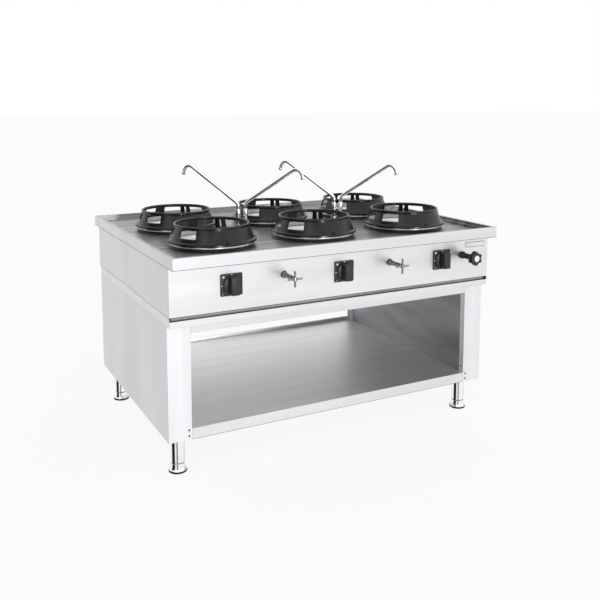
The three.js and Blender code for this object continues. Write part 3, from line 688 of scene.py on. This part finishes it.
# Water taps
tapSpec = {
    "body": [
        (0, -22), (7.7, -22), (7.7, 0.3), (14.4, 0.3), (15, 1.2), (15, 4.2), (14, 5.6), (12.4, 7.6),
        (11.6, 10), (11, 22), (10.2, 26.5), (9.2, 30), (9, 32), (9, 78), (8.4, 80.5), (6, 86),
        (0, 86),
    ],
    "hub": [
        (0, 86.3), (7.6, 86.3), (8.8, 88), (9, 90), (9, 98), (8, 100.4), (5.5, 101.8), (0, 102),
    ],
    "arm": [(0, -32), (2.8, -31.8), (3.9, -30.6), (3.9, 30.6), (2.8, 31.8), (0, 32)],
    "armHeight": 94,
}
for i in (1, 2):
    body = spinOutline(tapSpec["body"], 48)
    place(body, onPanel(f"tap_body_{i}"))
    finishPiece(f"tap_stem_{i}", body, "tapChromePaintedReflection", "carcass", [f"tap_body_{i}"])
    cross = spinOutline(tapSpec["hub"], 48)
    for axis in ("X", "Y"):
        arm = spinOutline(tapSpec["arm"], 24)
        lift = Matrix.Translation((0, 0, tapSpec["armHeight"] / 1000))
        addMesh(cross, place(arm, lift @ Matrix.Rotation(radians(90), 4, axis)))
    place(cross, onPanel(f"tap_body_{i}"))
    finishPiece(f"tap_cross_{i}", cross, "tapChromePaintedReflection", f"tap_handle_{i}", [f"tap_handle_{i}"])
print("taps made")

# Valve and its star wheel
valveSpec = {
    "body": [
        (0, -22), (7.7, -22), (7.7, 0.3), (15.5, 0.3), (16, 1.5), (16, 8), (14, 11), (12, 13),
        (12, 43), (10, 47), (8, 50), (8, 60), (6.5, 62), (6.5, 73.7), (0, 73.7),
    ],
    "wheelBottom": 74,
    "wheelThick": 25,
    "wheelRadius": 27.5,
    "lobe": 3.5,
    "cap": [(0, 90), (14, 90), (14, 98.6), (13.4, 100.2), (11, 101.6), (6, 102), (0, 102)],
}
stem = spinOutline(valveSpec["body"], 48)
place(stem, onPanel("valve_body"))
finishPiece("valve_stem", stem, "mouldedBlack", "carcass", ["valve_body"])

wheel = bmesh.new()
bmesh.ops.create_circle(
    wheel, cap_ends=True, segments=96, radius=valveSpec["wheelRadius"] / 1000,
    matrix=Matrix.Translation((0, 0, valveSpec["wheelBottom"] / 1000)),
)
for vert in wheel.verts:
    swell = valveSpec["lobe"] * math.cos(6 * math.atan2(vert.co.x, vert.co.y))
    vert.co.xy *= 1 + swell / valveSpec["wheelRadius"]
raised = bmesh.ops.extrude_face_region(wheel, geom=wheel.faces[:])
bmesh.ops.translate(
    wheel, vec=(0, 0, valveSpec["wheelThick"] / 1000),
    verts=[g for g in raised["geom"] if isinstance(g, bmesh.types.BMVert)],
)
bmesh.ops.recalc_face_normals(wheel, faces=wheel.faces)
bevelEdges(wheel, sharpEdges(wheel, 60), 2.5, 3)
place(wheel, onPanel("valve_body"))
finishPiece("valve_star", wheel, "mouldedBlack", "valve_wheel", ["valve_wheel"])
cap = spinOutline(valveSpec["cap"], 40)
place(cap, onPanel("valve_body"))
finishPiece("valve_cap", cap, "polishedChrome", "valve_wheel")
print("valve made")

# Swivel spouts
spoutSpec = {
    "pipe": 7.75,
    "sides": 20,
    "riser": 9.8,
    "riserTop": 80,
    "bend": 105,
    "slope": 33,
    "length": 320,
    "riserBend": 24,
    "neckBend": 28,
    "tip": 58,
    "tipLean": 17,
}


# The pipe's middle line: straight runs with an arc of the bend's radius at each corner.
def bentLine(corners, radii, steps):
    line = [corners[0]]
    for before, corner, after, radius in zip(corners, corners[1:], corners[2:], radii):
        back = (before - corner).normalized()
        ahead = (after - corner).normalized()
        opening = back.angle(ahead)
        centre = corner + (back + ahead).normalized() * radius / math.sin(opening / 2)
        spoke = corner + back * radius / math.tan(opening / 2) - centre
        for step in range(steps + 1):
            turn = Matrix.Rotation(-(math.pi - opening) * step / steps, 3, back.cross(ahead))
            line.append(centre + turn @ spoke)
    return line + [corners[-1]]


def sweepPipe(line, radius, sides):
    bm = bmesh.new()
    previous = None
    for i, point in enumerate(line):
        out = (line[min(i + 1, len(line) - 1)] - point).normalized()
        back = (point - line[max(i - 1, 0)]).normalized()
        heading = (out + back).normalized()
        turn = heading.to_track_quat("Z", "Y").to_matrix().to_4x4()
        loop = bmesh.ops.create_circle(
            bm, cap_ends=i in (0, len(line) - 1), segments=sides, radius=radius,
            matrix=Matrix.Translation(point) @ turn,
        )
        edges = list({e for v in loop["verts"] for e in v.link_edges})
        if previous:
            bmesh.ops.bridge_loops(bm, edges=previous + edges)
        previous = [e for e in edges if e.is_valid]
    bmesh.ops.recalc_face_normals(bm, faces=bm.faces)
    return bm


def makeSpout(node, turn, spec):
    base = Vector((spoutFoot[node][0], spoutFoot[node][1], rimTop))
    heading = Vector((math.cos(radians(turn)), math.sin(radians(turn)), 0))
    reach = spec["length"] * math.cos(radians(spec["slope"]))
    peak = spec["bend"] + spec["length"] * math.sin(radians(spec["slope"]))
    tipOut = spec["tip"] * math.sin(radians(spec["tipLean"]))
    tipDown = spec["tip"] * math.cos(radians(spec["tipLean"]))
    flat = [(0, 10), (0, spec["bend"]), (reach, peak), (reach + tipOut, peak - tipDown)]
    corners = [base + heading * out / 1000 + up * height / 1000 for out, height in flat]
    line = bentLine(corners, [spec["riserBend"] / 1000, spec["neckBend"] / 1000], 10)
    pipe = sweepPipe(line, spec["pipe"] / 1000, spec["sides"])
    bottom = (low(node).z - rimTop) * 1000
    riser = spinOutline([
        (0, bottom), (spec["riser"] - 0.6, bottom), (spec["riser"], bottom + 0.6),
        (spec["riser"], spec["riserTop"] - 5), (spec["riser"] - 0.4, spec["riserTop"] - 3),
        (spec["pipe"] + 0.3, spec["riserTop"]), (0, spec["riserTop"]),
    ], 32)
    addMesh(pipe, place(riser, Matrix.Translation(base)))
    nozzle = spinOutline([
        (0, -2), (6.5, -2), (8.2, -1.2), (8.9, 0), (8.9, 9), (8.4, 10.4), (7, 11), (0, 11),
    ], 32)
    lean = (corners[-2] - corners[-1]).to_track_quat("Z", "Y").to_matrix().to_4x4()
    addMesh(pipe, place(nozzle, Matrix.Translation(corners[-1]) @ lean))
    finishPiece(node + "_pipe", pipe, "polishedChrome", node, [node])


spoutFoot = {}
for joint in frame["joints"]:
    if joint["child"].startswith("spout"):
        spoutFoot[joint["child"]] = joint["pos_m"]
spoutTurns = {"spout_left_a": 127, "spout_left_b": -54, "spout_right_a": 127, "spout_right_b": -58}
for spoutNode, spoutTurn in spoutTurns.items():
    makeSpout(spoutNode, spoutTurn, spoutSpec)

for side in ("left", "right"):
    node = f"spout_base_{side}"
    makeSpec = {"finish": "polishedChrome", "slot": "chrome", "bend": 0.8}
    makeSheet(node, makeSpec)
print("spouts made")

# Bare name plate and screws
plateSpec = {"fromLeft": (1371, 1477), "drop": (91, 67), "thick": 1.2, "frame": 0.8, "line": 1.7}
left, right = (low("worktop").x * 1000 + fromEnd for fromEnd in plateSpec["fromLeft"])
bottom, top = (rimTop * 1000 - drop for drop in plateSpec["drop"])
outFace = panelFace * 1000 - plateSpec["thick"]
namePlate = roundedBlock(
    (left, outFace, bottom), (right, panelFace * 1000 + 0.2, top), 0.5, 2,
)
finishPiece("name_plate", namePlate, "paintedPlate", "carcass")

frameLine = bmesh.new()
inset, line = plateSpec["frame"], plateSpec["line"]
bars = (
    (left + inset, right - inset, bottom + inset, bottom + inset + line),
    (left + inset, right - inset, top - inset - line, top - inset),
    (left + inset, left + inset + line, bottom + inset, top - inset),
    (right - inset - line, right - inset, bottom + inset, top - inset),
)
for x1, x2, z1, z2 in bars:
    addMesh(frameLine, roundedBlock((x1, outFace - 0.15, z1), (x2, outFace + 0.1, z2), 0.04, 1))
finishPiece("name_plate_frame", frameLine, "mouldedBlack", "carcass")

# Small raised heads that hold the stand together, seen at the ends of the shelf and rail
screwSpec = {
    "head": [(0, -3), (1.8, -3), (1.8, 0), (3.6, 0), (3.8, 0.5), (3.3, 1.4), (2, 2.1), (0, 2.3)],
    "shelfEnds": (0.188, 0.165),
    "pillar": (0.562, 0.219),
    "pillarSetback": 0.018,
    "flange": (0.24, 0.215),
}
standFront = low("stand_left_side").y
inner = abs(high("stand_left_side").x)
liningFace = min(abs(low("left_lining").x), abs(high("left_lining").x))
screws = bmesh.new()
for side in (-1, 1):
    for height in screwSpec["shelfEnds"]:
        screw = spinOutline(screwSpec["head"], 16)
        spot = Vector((side * (inner + 0.012), standFront, height))
        addMesh(screws, place(screw, Matrix.Translation(spot) @ panelTurn))
    for height in screwSpec["pillar"]:
        screw = spinOutline(screwSpec["head"], 16)
        spot = Vector((side * (liningFace - 0.002), standFront + screwSpec["pillarSetback"], height))
        addMesh(screws, place(screw, Matrix.Translation(spot) @ Matrix.Rotation(radians(-90 * side), 4, "Y")))
finishPiece("stand_screws", screws, "bareCasting", "carcass")

# The shelf is hemmed up along its open back, and each lining ends in a narrow flange there.
hemSpec = {"height": 20, "depth": 8, "flange": 22, "sheet": 1.2, "gap": 0.3}
shelfTop = high("shelf").z * 1000
railBottom = low("stand_rear_rail").z * 1000
rear = high("shelf").y * 1000
lining = liningFace * 1000
hem = roundedBlock(
    (-lining + hemSpec["gap"], rear - hemSpec["depth"], shelfTop - 0.4),
    (lining - hemSpec["gap"], rear, shelfTop + hemSpec["height"]), 1.0, 2,
)
for side in (-1, 1):
    near, far = side * (lining - hemSpec["gap"]), side * (lining - hemSpec["flange"])
    front = rear - hemSpec["depth"] - hemSpec["gap"]
    strip = roundedBlock(
        (min(near, far), front - hemSpec["sheet"], shelfTop - 0.4),
        (max(near, far), front, railBottom - hemSpec["gap"]), 0.3, 1,
    )
    addMesh(hem, strip)
finishPiece("shelf_rear_hem", hem, "brushedAlongX", "carcass")
print("plate and screws made")


# Floor, light and world
stageSpec = {
    "floorSize": 60,
    "floorPaint": "#FAFAFA",
    "shadowShare": 0.14,
    "ambient": 0.62,
    # what polished metal sees around it: (turn from -X through the front, shade)
    "surroundings": (
        (0.0, 0.02), (0.07, 0.02), (0.086, 0.9), (0.145, 1.0), (0.155, 0.22), (0.205, 0.22),
        (0.215, 1.0), (0.45, 1.0), (0.56, 0.8), (0.66, 0.72), (0.75, 0.82), (0.82, 1.0),
        (0.925, 1.0), (0.935, 0.02),
    ),
    # its blend towards straight up and straight down: (height where it starts, ends, shade)
    "overhead": (0.35, 0.8, 1.0),
    "underneath": (-0.62, -0.95, 0.85),
}


# The floor glows for the camera, keeps part of the shadow, and lets gloss see the studio below it.
def makeFloor(spec):
    bm = bmesh.new()
    bmesh.ops.create_grid(bm, x_segments=1, y_segments=1, size=spec["floorSize"])
    bmesh.ops.translate(bm, vec=(0, 0, -0.0005), verts=bm.verts)
    mesh = bpy.data.meshes.new("floor")
    bm.to_mesh(mesh)
    bm.free()
    material = bpy.data.materials.new("paleFloor")
    material.use_nodes = True
    tree = material.node_tree
    shader = tree.nodes["Principled BSDF"]
    shader.inputs["Base Color"].default_value = paint(spec["floorPaint"])
    shader.inputs["Roughness"].default_value = 0.9
    shader.inputs["Specular IOR Level"].default_value = 0
    seen = addNode(tree, "ShaderNodeLightPath")
    share = addNode(tree, "ShaderNodeMath", {"operation": "MULTIPLY"}, {
        0: seen.outputs["Is Camera Ray"], 1: 1 - spec["shadowShare"],
    })
    glow = addNode(tree, "ShaderNodeEmission")
    lit = addNode(tree, "ShaderNodeMixShader", None, {
        "Fac": share.outputs["Value"], 1: shader.outputs["BSDF"], 2: glow.outputs["Emission"],
    })
    through = addNode(tree, "ShaderNodeBsdfTransparent")
    whole = addNode(tree, "ShaderNodeMixShader", None, {
        "Fac": seen.outputs["Is Glossy Ray"], 1: lit.outputs["Shader"], 2: through.outputs["BSDF"],
    })
    tree.links.new(whole.outputs["Shader"], tree.nodes["Material Output"].inputs["Surface"])
    mesh.materials.append(material)
    floor = bpy.data.objects.new("floor", mesh)
    bpy.context.scene.collection.objects.link(floor)


# The camera sees white. Diffuse surfaces get an even sky, and gloss a pale studio with darker parts.
def makeWorld(spec):
    world = bpy.data.worlds.new("studio")
    world.use_nodes = True
    bpy.context.scene.world = world
    tree = world.node_tree
    sky = tree.nodes["Background"]
    sky.inputs["Color"].default_value = (1, 1, 1, 1)
    sky.inputs["Strength"].default_value = spec["ambient"]
    white = addNode(tree, "ShaderNodeBackground", None, {"Color": (1, 1, 1, 1)})
    direction = addNode(tree, "ShaderNodeTexCoord").outputs["Generated"]
    around = addNode(
        tree, "ShaderNodeTexGradient", {"gradient_type": "RADIAL"}, {"Vector": direction},
    )
    shade = addNode(tree, "ShaderNodeValToRGB", None, {"Fac": around.outputs["Fac"]})
    stops = spec["surroundings"]
    while len(shade.color_ramp.elements) < len(stops):
        shade.color_ramp.elements.new(0.5)
    for element, (position, level) in zip(shade.color_ramp.elements, stops):
        element.position = position
        element.color = (level, level, level, 1)
    height = addNode(tree, "ShaderNodeSeparateXYZ", None, {"Vector": direction})
    colour = shade.outputs["Color"]
    for starts, ends, level in (spec["overhead"], spec["underneath"]):
        reach = addNode(tree, "ShaderNodeMapRange", {"interpolation_type": "SMOOTHSTEP"}, {
            "Value": height.outputs["Z"], "From Min": starts, "From Max": ends,
        })
        blend = addNode(tree, "ShaderNodeMix", {"data_type": "RGBA"}, {
            "Factor": reach.outputs["Result"], "A": colour, "B": (level, level, level, 1),
        })
        colour = blend.outputs["Result"]
    studio = addNode(tree, "ShaderNodeBackground", None, {"Color": colour})
    seen = addNode(tree, "ShaderNodeLightPath")
    clear = addNode(tree, "ShaderNodeMath", {"operation": "MAXIMUM"}, {
        0: seen.outputs["Is Camera Ray"], 1: seen.outputs["Is Transmission Ray"],
    })
    gloss = addNode(tree, "ShaderNodeMixShader", None, {
        "Fac": seen.outputs["Is Glossy Ray"],
        1: sky.outputs["Background"], 2: studio.outputs["Background"],
    })
    whole = addNode(tree, "ShaderNodeMixShader", None, {
        "Fac": clear.outputs["Value"], 1: gloss.outputs["Shader"], 2: white.outputs["Background"],
    })
    tree.links.new(whole.outputs["Shader"], tree.nodes["World Output"].inputs["Surface"])


sunSpecs = {
    "frontSun": {"from": (0.0, -1.0, 0.06), "spread": 5, "power": 0.9},
    "keySun": {"from": (-2.0, -3.0, 4.0), "spread": 50, "power": 0.45},
    "fillSun": {"from": (3.0, -2.0, 3.0), "spread": 70, "power": 0.25},
}


def makeSun(name, spec):
    data = bpy.data.lights.new(name, "SUN")
    data.angle = radians(spec["spread"])
    data.energy = spec["power"]
    lamp = bpy.data.objects.new(name, data)
    lamp.location = spec["from"]
    lamp.rotation_euler = (-Vector(spec["from"])).to_track_quat("-Z", "Y").to_euler()
    bpy.context.scene.collection.objects.link(lamp)


makeFloor(stageSpec)
makeWorld(stageSpec)
for sunName, sunSpec in sunSpecs.items():
    makeSun(sunName, sunSpec)
bpy.context.scene.view_settings.view_transform = "Standard"
print("stage lit")
